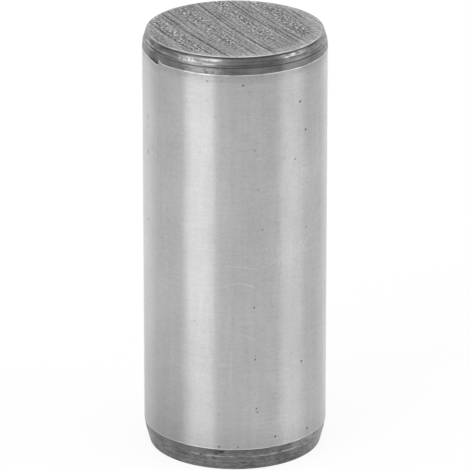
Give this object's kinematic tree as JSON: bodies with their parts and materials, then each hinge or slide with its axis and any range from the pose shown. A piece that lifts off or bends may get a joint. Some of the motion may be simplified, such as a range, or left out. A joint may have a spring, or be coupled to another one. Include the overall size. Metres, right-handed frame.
{
  "type": "piston pin",
  "caption": "Solid cylindrical piston pin with a ground barrel and a two-stage lead-in chamfer at each end.",
  "frame": {"origin": "centre of the lower end face, on which the pin stands", "axes": "+Z along the pin's axis, up to the parted end face; -Y is the front, and the chipped edge is on the -X side of it"},
  "size_m": [0.016, 0.016, 0.038],
  "materials": {
    "ground_steel": "centreless-ground barrel, with dark scale left on the lead-ins and a parted, unpolished upper end face"
  },
  "bodies": {
    "root": {"piston_pin": "ground_steel"}
  },
  "joints": []
}
